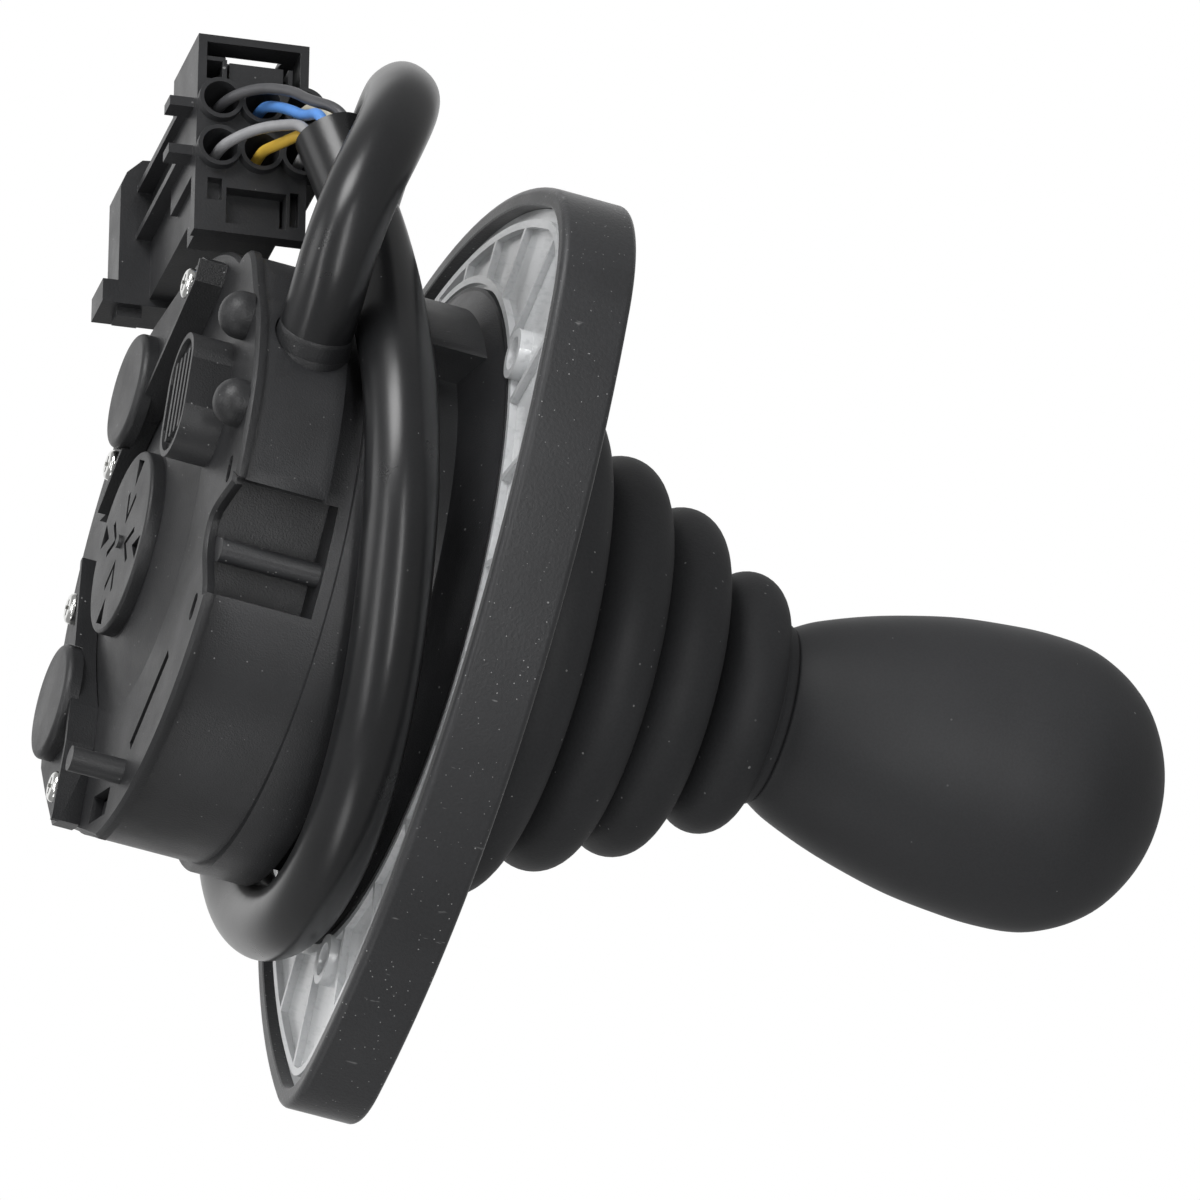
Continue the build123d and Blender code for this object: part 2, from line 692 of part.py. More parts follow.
with BuildPart() as knob_core:
    with BuildSketch(Plane.XY.offset(knob_base)):
        Circle(7.5)
        Circle(shaft_r, mode=Mode.SUBTRACT)
    extrude(amount=shaft_top - knob_base)
    with BuildSketch(Plane.XY.offset(shaft_top)):
        Circle(7.5)
    extrude(amount=3.0)
knob_core.part.label = "knob_core"
export_step(knob_core.part, "parts/knob_core.step")

with BuildPart() as grip_knob:
    with BuildSketch(Plane.XZ):
        with BuildLine():
            Spline(*knob_profile, tangents=[(0.42, 1.0), (-1.0, 0.0)])
            Polyline((0.0, knob_profile[-1][1]), (0.0, shaft_top + 3.0), (7.5, shaft_top + 3.0), (7.5, knob_base), knob_profile[0])
        make_face()
    revolve(axis=Axis.Z)
    fillet(grip_knob.edges().filter_by(GeomType.CIRCLE).filter_by(lambda e: abs(e.center().Z - knob_base) < 0.01).sort_by(SortBy.RADIUS)[-1], radius=0.8)
grip_knob.part.label = "grip_knob"
export_step(grip_knob.part, "parts/grip_knob.step")

# ---------------------------------------------------------------- circuit board
board_bottom = -30.6
with BuildPart() as circuit_board:
    with BuildSketch(Plane.XY.offset(board_bottom)):
        Circle(28.0)
        with PolarLocations(24.5, 3, start_angle=60):
            Circle(1.2, mode=Mode.SUBTRACT)
    extrude(amount=1.6)
circuit_board.part.label = "circuit_board"
export_step(circuit_board.part, "parts/circuit_board.step")

with BuildPart() as board_spacers:
    with BuildSketch(Plane.XY.offset(cover_top)):
        with PolarLocations(24.5, 3, start_angle=60):
            Circle(2.6)
    extrude(amount=board_bottom - cover_top)
board_spacers.part.label = "board_spacers"
export_step(board_spacers.part, "parts/board_spacers.step")

with BuildPart() as field_sensor:
    with BuildSketch(Plane.XY.offset(board_bottom + 1.6)):
        Rectangle(5.0, 4.4)
    extrude(amount=1.1)
field_sensor.part.label = "field_sensor"
export_step(field_sensor.part, "parts/field_sensor.step")

with BuildPart() as board_chips:
    with BuildSketch(Plane.XY.offset(board_bottom + 1.6)):
        with Locations((-14, 6), (13, -9)):
            Rectangle(7.0, 6.0)
        with Locations((15, 8), (-12, -10), (2, 17)):
            Rectangle(3.2, 2.0)
    extrude(amount=1.5)
board_chips.part.label = "board_chips"
export_step(board_chips.part, "parts/board_chips.step")

# ---------------------------------------------------------------- connector at the end of the sleeve
conn_at = (-56.2, 14.0, -31.3)
conn_x = unit((-0.1406, -0.0146, 0.9888))
conn_d = (0.4500, 0.8906, 0.0758)
dot = sum(a * b for a, b in zip(conn_x, conn_d))
conn_d = unit(tuple(d - dot * x for d, x in zip(conn_d, conn_x)))
conn_y = (
    conn_d[1] * conn_x[2] - conn_d[2] * conn_x[1],
    conn_d[2] * conn_x[0] - conn_d[0] * conn_x[2],
    conn_d[0] * conn_x[1] - conn_d[1] * conn_x[0],
)


def conn_plane(depth):
    return Plane(origin=tuple(c + depth * d for c, d in zip(conn_at, conn_d)), x_dir=conn_x, z_dir=conn_d)


def conn_point(x, y, z):
    return tuple(c + x * a + y * b + z * d for c, a, b, d in zip(conn_at, conn_x, conn_y, conn_d))


funnel_x = (-4.6, 1.1, 6.8)
funnel_y = (-5.1, 1.9)
with BuildPart() as connector_housing:
    # wire-side block: a deep frame above, a thin one below
    with BuildSketch(conn_plane(0)):
        with Locations((0, -4.9)):
            Rectangle(15.2, 20.2)
    extrude(amount=15.0)
    with BuildSketch(conn_plane(0)):
        with Locations((0, 9.5)):
            Rectangle(15.2, 9.0)
    extrude(amount=2.4)
    with BuildSketch(conn_plane(0)):
        with Locations((0, -11.2)):
            Rectangle(12.8, 5.4)
    extrude(amount=12.0, mode=Mode.SUBTRACT)
    with BuildSketch(conn_plane(0)):
        with Locations((0.8, 10.0)):
            Rectangle(8.2, 5.2)
    extrude(amount=2.4, mode=Mode.SUBTRACT)
    with BuildSketch(conn_plane(0)):
        with Locations((-4.9, 7.8)):
            Rectangle(2.0, 3.2)
        with Locations((6.0, 9.6)):
            Rectangle(1.2, 5.0)
    extrude(amount=1.6, mode=Mode.SUBTRACT)
    with BuildSketch(conn_plane(4.0)):
        with Locations((0.8, -15.0)):
            Rectangle(7.6, 4.6)
    extrude(amount=4.0, mode=Mode.SUBTRACT)
    # tongue and two thin webs inside the upper bay
    with BuildSketch(conn_plane(1.0)):
        with Locations((0.6, -10.0)):
            Rectangle(7.4, 3.2)
    extrude(amount=12.0)
    with BuildSketch(conn_plane(0.2)):
        with Locations((-3.9, -10.0), (5.1, -9.6)):
            Rectangle(0.6, 3.2)
        with Locations((-5.2, -11.6)):
            Rectangle(2.8, 0.6)
    extrude(amount=12.0)
    # body behind the lower bay
    with BuildSketch(conn_plane(2.2)):
        with Locations((-1.1, 8.8)):
            Rectangle(11.2, 8.6)
    extrude(amount=6.0)
    # contact block that runs to the mating end
    with BuildSketch(conn_plane(1.0)):
        with Locations((1.1, -1.6)):
            Rectangle(17.0, 13.4)
    extrude(amount=14.0)
    with BuildSketch(conn_plane(5.0)):
        with Locations((-0.4, 0.0)):
            Rectangle(12.6, 19.6)
    extrude(amount=3.0)
    with BuildSketch(conn_plane(8.0)):
        with Locations((-0.4, 0.0)):
            Rectangle(12.6, 20.0)
    extrude(amount=23.0)
    # mating end collar and its lower lip
    with BuildSketch(conn_plane(31.0)):
        with BuildLine():
            Polyline((-8.2, -10.6), (7.7, -11.9), (7.7, 11.1), (-11.1, 11.1), (-11.1, -6.6), (-10.3, -8.6), close=True)
        make_face()
    extrude(amount=7.0)
    with BuildSketch(conn_plane(31.0)):
        with Locations((-3.0, 9.4)):
            Rectangle(20.4, 3.4)
    extrude(amount=7.0)
    with BuildSketch(conn_plane(32.2)):
        with Locations((-9.2, 11.6)):
            Rectangle(3.4, 1.6)
    extrude(amount=3.4)
    with BuildSketch(conn_plane(34.5)):
        with Locations((-1.7, -0.4)):
            Rectangle(15.6, 18.0)
    extrude(amount=6.0, mode=Mode.SUBTRACT)
    # two side rails and two end tabs
    with BuildSketch(conn_plane(4.2)):
        with Locations((-7.7, -6.2), (-7.7, 0.9)):
            Rectangle(2.2, 1.0)
    extrude(amount=27.0)
    with BuildSketch(conn_plane(2.0)):
        with Locations((-9.2, -5.6), (-9.2, 1.5)):
            Rectangle(3.4, 1.4)
    extrude(amount=3.4)
    # six wire funnels
    with BuildSketch(conn_plane(-1.5)):
        with Locations(*[(x, y) for x in funnel_x for y in funnel_y]):
            Circle(3.0)
    extrude(amount=2.6)
    with BuildSketch(conn_plane(-1.5)):
        with Locations(*[(x, y) for x in funnel_x for y in funnel_y]):
            Circle(2.4)
    extrude(amount=8.0, mode=Mode.SUBTRACT)
connector_housing.part.label = "connector_housing"
export_step(connector_housing.part, "parts/connector_housing.step")

with BuildPart() as connector_lock:
    with BuildSketch(conn_plane(34.7)):
        with Locations((-1.7, -0.4)):
            Rectangle(15.2, 17.6)
        with Locations(*[(x - 1.8, y * 1.4 + 2.0) for x in funnel_x for y in funnel_y]):
            Rectangle(2.2, 2.2, mode=Mode.SUBTRACT)
    extrude(amount=2.6)
connector_lock.part.label = "connector_lock"
export_step(connector_lock.part, "parts/connector_lock.step")

with BuildPart() as connector_contacts:
    with BuildSketch(conn_plane(34.7)):
        with Locations(*[(x - 1.8, y * 1.4 + 2.0) for x in funnel_x for y in funnel_y]):
            Rectangle(1.7, 1.7)
            Rectangle(1.0, 1.0, mode=Mode.SUBTRACT)
    extrude(amount=2.4)
connector_contacts.part.label = "connector_contacts"
export_step(connector_contacts.part, "parts/connector_contacts.step")

# ---------------------------------------------------------------- cable sleeve
sleeve_route = [
    gland_face,
    along_gland(7.0),
    (-45.5, -31.8, -25.9),
    (-53.6, -29.4, -24.4),
    (-60.5, -23.5, -21.6),
    (-65.4, -13.5, -18.6),
    (-67.0, 1.0, -16.2),
    (-58.0, 12.6, -14.6),
    (-48.2, 20.8, -13.2),
    (-37.6, 31.6, -12.2),
    (-21.6, 43.4, -11.0),
    (-0.5, 47.6, -9.0),
    (20.2, 42.2, -6.8),
    (35.4, 29.6, -5.7),
    (43.2, 13.6, -5.4),
    (44.6, -4.4, -5.4),
    (40.0, -22.2, -5.5),
    (28.2, -37.4, -6.3),
    (9.8, -46.4, -8.6),
    (-10.5, -46.6, -11.6),
    (-27.4, -38.6, -14.0),
    (-38.4, -24.8, -15.8),
    (-46.2, -14.2, -17.7),
    (-52.9, -7.5, -20.9),
    (-59.3, -2.0, -24.6),
]
radii = tube_route("cable_sleeve", sleeve_route)
with BuildPart() as cable_sleeve:
    with BuildLine() as route:
        FilletPolyline(*sleeve_route, radius=radii)
    with BuildSketch(start_plane(sleeve_route)):
        Circle(sleeve_r)
    sweep()
print("cable_sleeve length", round(sum(e.length for e in route.edges()), 1), "volume", round(cable_sleeve.part.volume), "expected", round(pi * sleeve_r ** 2 * sum(e.length for e in route.edges())))
cable_sleeve.part.label = "cable_sleeve"
export_step(cable_sleeve.part, "parts/cable_sleeve.step")

# ---------------------------------------------------------------- wires from the sleeve's end to the funnels
end_dir = unit(tuple(b - a for a, b in zip(sleeve_route[-2], sleeve_route[-1])))
end_plane = Plane(origin=sleeve_route[-1], x_dir=conn_x, z_dir=end_dir)


def end_point(radius, angle, along):
    a = radians(angle)
    p = sum(([radius * cos(a) * t for t in end_plane.x_dir], [radius * sin(a) * t for t in end_plane.y_dir], [along * t for t in end_plane.z_dir]), [])
    return tuple(sleeve_route[-1][i] + p[i] + p[3 + i] + p[6 + i] for i in range(3))


# colour: (angle in the sleeve's end, funnel column, funnel row, points between in the connector's frame)
wires = {
    "wire_dark_grey": (300, 0, 0, [(4.8, -0.4, -13.0), (3.2, -3.6, -9.0), (-0.8, -5.5, -4.8)]),
    "wire_blue": (240, 1, 0, [(4.4, 1.9, -12.6), (3.2, -1.0, -8.4), (2.0, -3.3, -4.4)]),
    "wire_beige": (0, 2, 0, [(8.4, 0.0, -9.4), (7.4, -3.7, -4.8)]),
    "wire_grey": (180, 0, 1, [(1.9, 2.1, -9.8), (-0.6, 1.5, -6.8), (-3.2, 1.8, -3.6)]),
    "wire_yellow": (120, 1, 1, [(4.1, 3.4, -10.0), (2.6, 2.9, -5.8), (1.5, 2.3, -2.6)]),
    "wire_white": (60, 2, 1, [(6.4, 3.5, -9.0), (6.5, 2.9, -4.4)]),
}
for name, (angle, column, row, between) in wires.items():
    fx, fy = funnel_x[column], funnel_y[row]
    points = [end_point(3.0, angle, 0.0), end_point(3.0, angle, 2.2)]
    points += [conn_point(*p) for p in between]
    points += [conn_point(fx, fy, 0.2), conn_point(fx, fy, 6.5)]
    radii = tube_route(name, points)
    with BuildPart() as wire:
        with BuildLine() as route:
            FilletPolyline(*points, radius=radii)
        with BuildSketch(start_plane(points)):
            Circle(wire_r)
        sweep()
    wire.part.label = name
    print(name, "points", [tuple(round(c, 2) for c in p) for p in points], "length", round(sum(e.length for e in route.edges()), 1))
    export_step(wire.part, "parts/" + name + ".step")

print("connector frame", conn_at, conn_x, conn_y, conn_d)
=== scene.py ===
import bpy
import bmesh
import json
import math
from mathutils import Matrix, Vector


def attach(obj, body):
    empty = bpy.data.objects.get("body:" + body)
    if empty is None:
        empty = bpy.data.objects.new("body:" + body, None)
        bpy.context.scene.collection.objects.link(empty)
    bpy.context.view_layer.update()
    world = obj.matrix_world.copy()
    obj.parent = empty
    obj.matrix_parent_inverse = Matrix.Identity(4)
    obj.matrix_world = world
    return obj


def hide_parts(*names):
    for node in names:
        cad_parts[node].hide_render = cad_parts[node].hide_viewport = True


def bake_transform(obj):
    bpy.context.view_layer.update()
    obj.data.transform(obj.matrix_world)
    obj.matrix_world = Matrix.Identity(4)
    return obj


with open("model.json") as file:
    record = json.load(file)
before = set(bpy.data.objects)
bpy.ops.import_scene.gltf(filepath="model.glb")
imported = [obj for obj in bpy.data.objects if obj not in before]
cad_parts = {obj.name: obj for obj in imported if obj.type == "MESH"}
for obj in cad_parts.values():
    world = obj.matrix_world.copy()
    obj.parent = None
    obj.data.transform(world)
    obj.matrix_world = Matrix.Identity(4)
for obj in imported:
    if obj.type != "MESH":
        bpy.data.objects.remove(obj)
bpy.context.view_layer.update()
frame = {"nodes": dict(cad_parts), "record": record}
scene = bpy.context.scene
nodes = frame["nodes"]
MM = 0.001

# ------------------------------------------------------------ camera
right = Vector((-0.2588, -0.2287, 0.9380))
up = Vector((-0.9659, 0.0613, -0.2515))
ahead = up.cross(right)
cam = bpy.data.cameras.new("camera")
cam_ob = bpy.data.objects.new("camera", cam)
scene.collection.objects.link(cam_ob)
m = Matrix((right, up, -ahead)).transposed().to_4x4()
m.translation = Vector((-0.0089, -1.9444, -0.4463))
cam_ob.matrix_world = m
cam.lens = 450
cam.sensor_width = 36
cam.sensor_fit = "HORIZONTAL"
cam.clip_start = 0.05
cam.clip_end = 30
scene.camera = cam_ob


# ------------------------------------------------------------ node helpers
def material(name):
    mat = bpy.data.materials.new(name)
    mat.use_nodes = True
    nt = mat.node_tree
    bsdf = next(n for n in nt.nodes if n.type == "BSDF_PRINCIPLED")
    coords = nt.nodes.new("ShaderNodeTexCoord")
    return mat, nt, bsdf, coords.outputs["Object"]


def noise(nt, vec, scale, detail=4.0, rough=0.55):
    n = nt.nodes.new("ShaderNodeTexNoise")
    n.inputs["Scale"].default_value = scale
    n.inputs["Detail"].default_value = detail
    n.inputs["Roughness"].default_value = rough
    nt.links.new(vec, n.inputs["Vector"])
    return n.outputs["Fac"]


def voronoi(nt, vec, scale, feature="F1", out="Distance"):
    n = nt.nodes.new("ShaderNodeTexVoronoi")
    n.feature = feature
    n.inputs["Scale"].default_value = scale
    nt.links.new(vec, n.inputs["Vector"])
    return n.outputs[out]


def ramp(nt, fac, stops):
    n = nt.nodes.new("ShaderNodeValToRGB")
    nt.links.new(fac, n.inputs["Fac"])
    el = n.color_ramp.elements
    while len(el) > len(stops):
        el.remove(el[-1])
    while len(el) < len(stops):
        el.new(0.5)
    for e, (p, c) in zip(el, stops):
        e.position = p
        e.color = (c, c, c, 1) if isinstance(c, (int, float)) else (*c, 1)
    return n.outputs["Color"]


def maths(nt, op, a, b):
    n = nt.nodes.new("ShaderNodeMath")
    n.operation = op
    for i, v in enumerate((a, b)):
        if isinstance(v, (int, float)):
            n.inputs[i].default_value = v
        else:
            nt.links.new(v, n.inputs[i])
    return n.outputs["Value"]


def mix(nt, fac, a, b):
    n = nt.nodes.new("ShaderNodeMix")
    n.data_type = "RGBA"
    ins = {"f": n.inputs[0], "a": n.inputs[6], "b": n.inputs[7]}
    for key, v in (("f", fac), ("a", a), ("b", b)):
        if isinstance(v, (int, float)):
            ins[key].default_value = v
        elif isinstance(v, tuple):
            ins[key].default_value = (*v, 1)
        else:
            nt.links.new(v, ins[key])
    return n.outputs[2]


def bump(nt, height, strength, distance, below=None):
    n = nt.nodes.new("ShaderNodeBump")
    n.inputs["Strength"].default_value = strength
    n.inputs["Distance"].default_value = distance
    nt.links.new(height, n.inputs["Height"])
    if below is not None:
        nt.links.new(below, n.inputs["Normal"])
    return n.outputs["Normal"]


def specks(nt, vec, scale, keep, size):
    """Mask of sparse round specks: only cells whose random value is over keep show one."""
    v = nt.nodes.new("ShaderNodeTexVoronoi")
    v.inputs["Scale"].default_value = scale
    nt.links.new(vec, v.inputs["Vector"])
    near = maths(nt, "LESS_THAN", v.outputs["Distance"], size)
    sep = nt.nodes.new("ShaderNodeSeparateColor")
    nt.links.new(v.outputs["Color"], sep.inputs["Color"])
    few = maths(nt, "GREATER_THAN", sep.outputs["Red"], keep)
    return maths(nt, "MULTIPLY", near, few)


def moulded(name, dark, light, rough, grain, grain_depth, speck=0.96, speck_scale=1100, speck_size=0.16,
            mottle=60, spec=0.5, coat=0.0, rough_span=0.12, lint=(0.30, 0.30, 0.30), scuff=0.0, sheen=0.0):
    """Moulded plastic or rubber: grained bump, soft mottling, uneven sheen, fine dust and faint scuffs."""
    mat, nt, b, vec = material(name)
    big = noise(nt, vec, mottle, 3)
    fine = noise(nt, vec, grain, 2, 0.6)
    cool = lambda v: (v * 0.97, v * 0.99, v * 1.06)
    tone = ramp(nt, big, [(0.3, cool(dark)), (0.7, cool(light))])
    grit = ramp(nt, fine, [(0.35, 0.84), (0.65, 1.0)])
    mul = nt.nodes.new("ShaderNodeMix")
    mul.data_type = "RGBA"
    mul.blend_type = "MULTIPLY"
    mul.inputs[0].default_value = 1.0
    nt.links.new(tone, mul.inputs[6])
    nt.links.new(grit, mul.inputs[7])
    col = mul.outputs[2]
    # dust gathers in patches
    patch = ramp(nt, noise(nt, vec, mottle * 0.7, 2), [(0.38, 0.25), (0.62, 1.0)])
    dots = maths(nt, "MULTIPLY", specks(nt, vec, speck_scale, speck, speck_size), patch)
    col = mix(nt, dots, col, lint)
    big_dots = specks(nt, vec, speck_scale * 0.45, 0.985, speck_size * 0.7)
    col = mix(nt, maths(nt, "MULTIPLY", big_dots, 0.7), col, lint)
    if scuff:
        m = nt.nodes.new("ShaderNodeMapping")
        m.inputs["Scale"].default_value = (1.0, 1.0, 0.25)
        m.inputs["Rotation"].default_value = (0.4, 0.7, 0.2)
        nt.links.new(vec, m.inputs["Vector"])
        lines = ramp(nt, noise(nt, m.outputs["Vector"], 900, 2, 0.7), [(0.70, 0.0), (0.78, scuff)])
        where = ramp(nt, noise(nt, vec, 55, 2), [(0.52, 0.0), (0.68, 1.0)])
        col = mix(nt, maths(nt, "MULTIPLY", lines, where), col, lint)
    nt.links.new(col, b.inputs["Base Color"])
    r = maths(nt, "ADD", maths(nt, "MULTIPLY", noise(nt, vec, mottle * 2.3, 4), rough_span * 2), rough - rough_span)
    nt.links.new(r, b.inputs["Roughness"])
    b.inputs["Specular IOR Level"].default_value = spec
    if coat:
        b.inputs["Coat Weight"].default_value = coat
        b.inputs["Coat Roughness"].default_value = 0.25
    if sheen:
        b.inputs["Sheen Weight"].default_value = sheen
        b.inputs["Sheen Roughness"].default_value = 0.4
        b.inputs["Sheen Tint"].default_value = (0.95, 0.95, 0.95, 1)
    n = bump(nt, fine, 1.0, grain_depth)
    nt.links.new(n, b.inputs["Normal"])
    return mat


def metal(name, color, rough, brushed=900, spots=0.04):
    mat, nt, b, vec = material(name)
    f = noise(nt, vec, brushed, 6, 0.7)
    lo = tuple(c * 0.82 for c in color)
    nt.links.new(mix(nt, ramp(nt, f, [(0.35, 0.0), (0.7, 1.0)]), lo, color), b.inputs["Base Color"])
    b.inputs["Metallic"].default_value = 1.0
    nt.links.new(maths(nt, "ADD", maths(nt, "MULTIPLY", noise(nt, vec, 300, 3), 0.18), rough - 0.09), b.inputs["Roughness"])
    nt.links.new(bump(nt, f, 0.4, spots * MM), b.inputs["Normal"])
    return mat


def insulation(name, color):
    mat, nt, b, vec = material(name)
    f = noise(nt, vec, 420, 3)
    nt.links.new(mix(nt, ramp(nt, f, [(0.3, 0.0), (0.75, 1.0)]), tuple(c * 0.86 for c in color), color), b.inputs["Base Color"])
    nt.links.new(maths(nt, "ADD", maths(nt, "MULTIPLY", f, 0.2), 0.28), b.inputs["Roughness"])
    nt.links.new(bump(nt, noise(nt, vec, 1500, 2), 0.25, 0.05 * MM), b.inputs["Normal"])
    b.inputs["Subsurface Weight"].default_value = 0.05
    b.inputs["Subsurface Radius"].default_value = (0.001, 0.001, 0.001)
    return mat


M = {}
M["ring"] = moulded("ring_black", 0.026, 0.036, 0.46, 2300, 0.05 * MM, speck=0.74, speck_scale=1600, speck_size=0.13, mottle=45, scuff=0.9, lint=(0.44, 0.44, 0.44), sheen=0.32)
M["housing"] = moulded("housing_black", 0.020, 0.034, 0.42, 4200, 0.06 * MM, speck=0.945, speck_scale=1500, mottle=55, rough_span=0.14)
M["cover"] = moulded("cover_black", 0.014, 0.023, 0.43, 4000, 0.055 * MM, speck=0.945, speck_scale=1500, mottle=60, rough_span=0.14)
M["connector"] = moulded("connector_black", 0.021, 0.029, 0.40, 3200, 0.03 * MM, speck=0.97, mottle=80)
M["inner_plastic"] = moulded("inner_dark_grey", 0.075, 0.10, 0.5, 2600, 0.04 * MM, mottle=70)
M["boot"] = moulded("boot_rubber", 0.024, 0.033, 0.62, 2500, 0.03 * MM, speck=0.94, speck_scale=900, speck_size=0.13, mottle=38, spec=0.4)
M["knob"] = moulded("knob_black", 0.029, 0.037, 0.56, 3400, 0.014 * MM, speck=0.965, speck_scale=700, speck_size=0.10, mottle=26, spec=0.42)
M["sleeve"] = moulded("sleeve_black", 0.012, 0.018, 0.29, 2600, 0.006 * MM, speck=0.955, speck_scale=800, speck_size=0.10, mottle=50, spec=0.5, rough_span=0.05)
M["screw"] = metal("screw_bright", (0.82, 0.82, 0.80), 0.2)
M["steel"] = metal("steel_ground", (0.58, 0.58, 0.59), 0.32)
M["zinc"] = metal("zinc_cast", (0.5, 0.5, 0.51), 0.5, 500)
M["spring"] = metal("spring_wire", (0.5, 0.5, 0.5), 0.3)
M["contact"] = metal("contact_tin", (0.78, 0.66, 0.42), 0.25)
M["magnet"] = metal("magnet_nickel", (0.75, 0.74, 0.7), 0.18)
M["aluminium"] = metal("aluminium_turned", (0.75, 0.75, 0.77), 0.35)
M["chip"] = moulded("chip_black", 0.016, 0.022, 0.4, 4200, 0.02 * MM, mottle=120)
M["wire_dark_grey"] = insulation("wire_dark_grey", (0.085, 0.085, 0.09))
M["wire_blue"] = insulation("wire_blue", (0.11, 0.30, 0.74))
M["wire_beige"] = insulation("wire_beige", (0.72, 0.68, 0.55))
M["wire_grey"] = insulation("wire_light_grey", (0.32, 0.32, 0.33))
M["wire_yellow"] = insulation("wire_yellow", (0.90, 0.58, 0.08))
M["wire_white"] = insulation("wire_off_white", (0.62, 0.62, 0.63))


def clear_material():
    mat, nt, b, vec = material("clear_plate")
    big = noise(nt, vec, 70, 3)
    streak = nt.nodes.new("ShaderNodeMapping")
    streak.inputs["Scale"].default_value = (1.0, 0.12, 1.0)
    nt.links.new(vec, streak.inputs["Vector"])
    fine = noise(nt, streak.outputs["Vector"], 1500, 2, 0.5)
    pale = mix(nt, ramp(nt, big, [(0.35, 0.0), (0.75, 1.0)]), (0.57, 0.58, 0.59), (0.70, 0.71, 0.72))
    nt.links.new(mix(nt, ramp(nt, fine, [(0.52, 0.0), (0.75, 0.45)]), pale, (0.40, 0.415, 0.425)), b.inputs["Base Color"])
    nt.links.new(maths(nt, "ADD", maths(nt, "MULTIPLY", noise(nt, vec, 240, 4), 0.25), 0.08), b.inputs["Roughness"])
    b.inputs["Transmission Weight"].default_value = 0.15
    # painted light: a faint white glow stands in for backdrop light passing through the plate
    b.inputs["Emission Color"].default_value = (0.92, 0.94, 0.94, 1)
    b.inputs["Emission Strength"].default_value = 0.03
    b.inputs["IOR"].default_value = 1.49
    nt.links.new(bump(nt, noise(nt, vec, 900, 3), 0.5, 0.04 * MM), b.inputs["Normal"])
    return mat


M["clear"] = clear_material()


def board_material():
    mat, nt, b, vec = material("board_green")
    n = nt.nodes.new("ShaderNodeTexBrick")
    n.inputs["Scale"].default_value = 260
    n.inputs["Mortar Size"].default_value = 0.06
    n.inputs["Color1"].default_value = (0.010, 0.13, 0.045, 1)
    n.inputs["Color2"].default_value = (0.014, 0.16, 0.06, 1)
    n.inputs["Mortar"].default_value = (0.05, 0.25, 0.09, 1)
    nt.links.new(vec, n.inputs["Vector"])
    nt.links.new(n.outputs["Color"], b.inputs["Base Color"])
    nt.links.new(maths(nt, "ADD", maths(nt, "MULTIPLY", noise(nt, vec, 500, 3), 0.2), 0.2), b.inputs["Roughness"])
    nt.links.new(bump(nt, n.outputs["Fac"], 0.5, 0.03 * MM), b.inputs["Normal"])
    return mat


M["board"] = board_material()

slots = {s["node"]: s["material_slot"] for s in frame["record"]["subparts"]}


def paint(o, mat):
    o.data.materials.clear()
    o.data.materials.append(mat)


for n, o in nodes.items():
    paint(o, M["cover" if n == "cable_gland" else slots[n]])

# ------------------------------------------------------------ edge rounding on the CAD pieces
ROUND = {
    "bezel_ring": 0.35, "flange_plate": 0.3, "main_housing": 0.35, "rear_cover": 0.3, "hub_cap": 0.15,
    "sensor_bracket_a": 0.25, "sensor_bracket_b": 0.25, "connector_housing": 0.22, "connector_lock": 0.15,
    "boot_clamp": 0.3, "pivot_carrier": 0.3, "spring_seat": 0.2, "gimbal_ring": 0.3, "pivot_block": 0.3,
    "sensor_bail": 0.2, "spring_collar": 0.3, "lock_nut": 0.3, "boot_collar": 0.2, "knob_core": 0.3,
    "ribbed_plug": 0.12, "cable_gland": 0.3, "circuit_board": 0.1, "board_chips": 0.12, "field_sensor": 0.1,
}
for n, width in ROUND.items():
    o = nodes[n]
    w = o.modifiers.new("weld", "WELD")
    w.merge_threshold = 0.000004
    b = o.modifiers.new("round", "BEVEL")
    b.width = width * MM
    b.segments = 2
    b.limit_method = "ANGLE"
    b.angle_limit = math.radians(38)
    b.harden_normals = False
    b.use_clamp_overlap = True
    b.loop_slide = True


# ------------------------------------------------------------ mesh helpers
def new_mesh(name, verts, faces, mat, smooth=True):
    me = bpy.data.meshes.new(name)
    me.from_pydata(verts, [], faces)
    me.materials.append(mat)
    me.update()
    ob = bpy.data.objects.new(name, me)
    scene.collection.objects.link(ob)
    if smooth:
        me.shade_smooth()
    return ob


def spun(name, profile, segs, mat, closed=True, phase=0.0):
    """Surface of revolution about Z from (r, z) points in mm; closed joins the last point to the first."""
    verts, faces, rings = [], [], []
    for r, z in profile:
        if r < 1e-6:
            rings.append([len(verts)])
            verts.append((0, 0, z * MM))
        else:
            start = len(verts)
            for k in range(segs):
                a = 2 * math.pi * k / segs + phase
                verts.append((r * MM * math.cos(a), r * MM * math.sin(a), z * MM))
            rings.append(list(range(start, start + segs)))
    pairs = list(zip(rings, rings[1:]))
    if closed:
        pairs.append((rings[-1], rings[0]))
    for a, b in pairs:
        if len(a) == 1 and len(b) == 1:
            continue
        for k in range(segs):
            j = (k + 1) % segs
            if len(a) == 1:
                faces.append((a[0], b[j], b[k]))
            elif len(b) == 1:
                faces.append((a[k], a[j], b[0]))
            else:
                faces.append((a[k], a[j], b[j], b[k]))
    ob = new_mesh(name, verts, faces, mat)
    bm = bmesh.new()
    bm.from_mesh(ob.data)
    bmesh.ops.recalc_face_normals(bm, faces=bm.faces)
    bm.to_mesh(ob.data)
    bm.free()
    ob.data.shade_smooth()
    return ob


